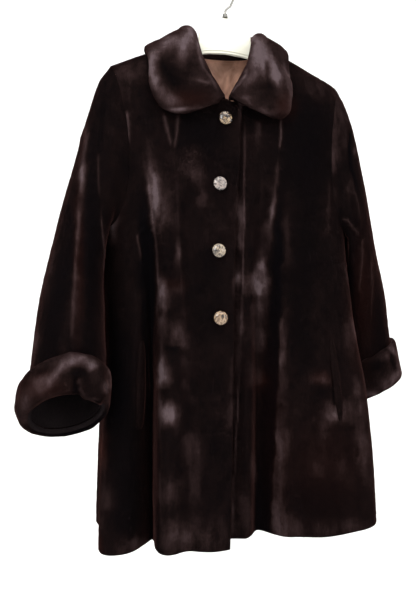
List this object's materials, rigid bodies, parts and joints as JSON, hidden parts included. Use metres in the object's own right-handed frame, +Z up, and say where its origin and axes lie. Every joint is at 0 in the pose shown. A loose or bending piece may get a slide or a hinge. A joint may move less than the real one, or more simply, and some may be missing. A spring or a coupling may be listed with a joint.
{
  "type": "sheared mink coat on a clothes hanger",
  "caption": "Dark brown sheared mink swing coat with a wide rounded collar, turned-back cuffs and round buttons, hanging on a cream moulded hanger.",
  "frame": {"origin": "inside top of the hanger's hook, where a rail carries it", "axes": "+Z up, the front of the coat faces -Y, the wearer's left is +X"},
  "size_m": [0.7611, 0.365, 0.9809],
  "materials": {
    "fur": "sheared pile, soft sheen",
    "satin": "satin weave",
    "pearl": "marbled, polished",
    "cream_plastic": "moulded, satin gloss",
    "steel": "bright wire"
  },
  "bodies": {
    "root": {"front_right": "fur", "front_left": "fur", "back": "fur", "sleeve_right": "fur", "sleeve_left": "fur", "cuff_right": "fur", "cuff_left": "fur", "collar": "fur", "pocket_welt_right": "fur", "pocket_welt_left": "fur", "back_lining": "satin", "button_1": "pearl", "button_2": "pearl", "button_3": "pearl", "button_4": "pearl", "hanger": "cream_plastic", "hanger_hook": "steel"}
  },
  "joints": []
}
